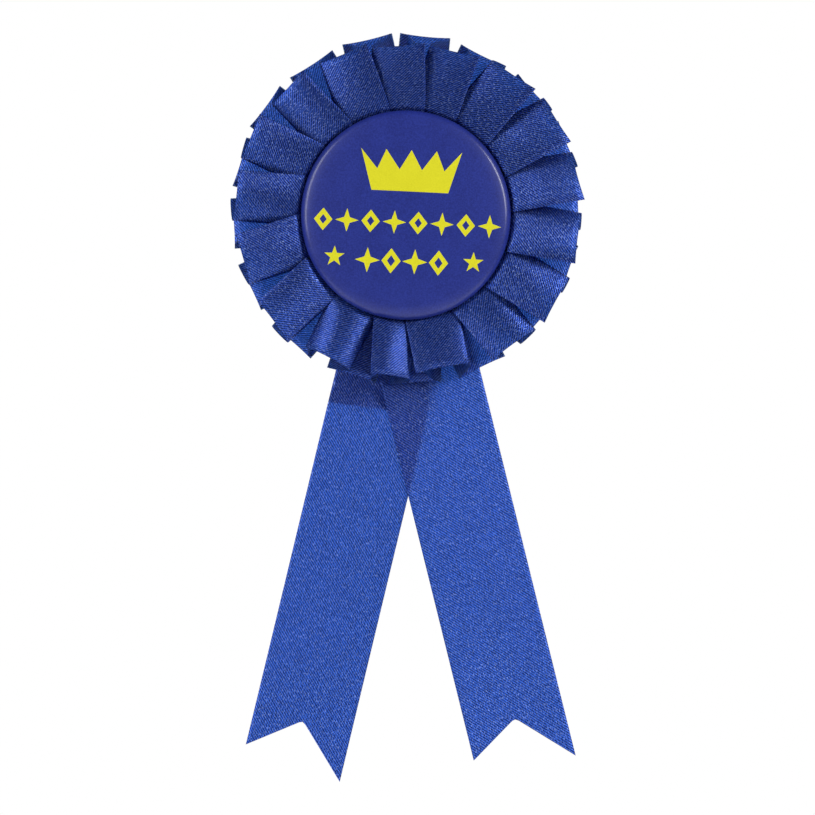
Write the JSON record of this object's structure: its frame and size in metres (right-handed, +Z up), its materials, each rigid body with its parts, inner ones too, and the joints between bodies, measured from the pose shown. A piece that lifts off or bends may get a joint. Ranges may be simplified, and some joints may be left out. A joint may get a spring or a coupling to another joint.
{
  "type": "award ribbon",
  "caption": "Pleated satin rosette with a domed button badge and two swallowtail streamers, worn by a brooch pin with a turning safety catch.",
  "frame": {"origin": "middle of the brooch needle's axis, behind the rosette and 8 mm above its centre", "axes": "+Z up as worn, -Y out of the ribbon's face, +X to the right of someone who looks at the face, along the needle from its rivet to its point"},
  "size_m": [0.0884, 0.0199, 0.1868],
  "materials": {
    "satin": "royal blue polyester satin, fine diagonal weave",
    "clear_film": "clear glossy polyester film",
    "printed_paper": "dark blue print with yellow ornaments",
    "tinplate": "plain tinplate",
    "nickel_steel": "nickel plated steel",
    "foam": "white closed-cell foam",
    "thread": "navy polyester thread",
    "card": "grey-brown card",
    "hot_glue": "milky hot-melt glue",
    "felt": "navy felt"
  },
  "bodies": {
    "rosette": {"badge_film": "clear_film", "badge_print": "printed_paper", "badge_shell": "tinplate", "badge_collet": "tinplate", "badge_pad": "foam", "ruffle": "satin", "ruffle_stitches": "thread", "base_disc": "card", "glue_dabs": "hot_glue", "left_tail_top": "satin", "right_tail_top": "satin", "rear_cover": "felt", "pin_tape": "foam", "pin_bar": "nickel_steel", "pin_rivet": "nickel_steel"},
    "left_streamer": {"left_tail": "satin"},
    "right_streamer": {"right_tail": "satin"},
    "needle": {"pin_stem": "nickel_steel"},
    "roller": {"catch_roller": "nickel_steel"}
  },
  "joints": [
    {"name": "pin_swing", "type": "hinge", "parent": "rosette", "child": "needle", "pos_m": [-0.013, 0, 0], "axis": [0, 0, 1], "range_deg": [0, 100]},
    {"name": "catch_turn", "type": "hinge", "parent": "rosette", "child": "roller", "pos_m": [0.0126, 0, 0], "axis": [1, 0, 0], "range_deg": [0, 110]},
    {"name": "left_streamer_flex", "type": "hinge", "parent": "rosette", "child": "left_streamer", "pos_m": [-0.00701, -0.00555, -0.0572], "axis": [0.9724, 0, -0.2334], "range_deg": [0, 60]},
    {"name": "right_streamer_flex", "type": "hinge", "parent": "rosette", "child": "right_streamer", "pos_m": [0.00719, -0.00615, -0.05362], "axis": [-0.9707, 0, -0.2402], "range_deg": [0, 80]}
  ]
}
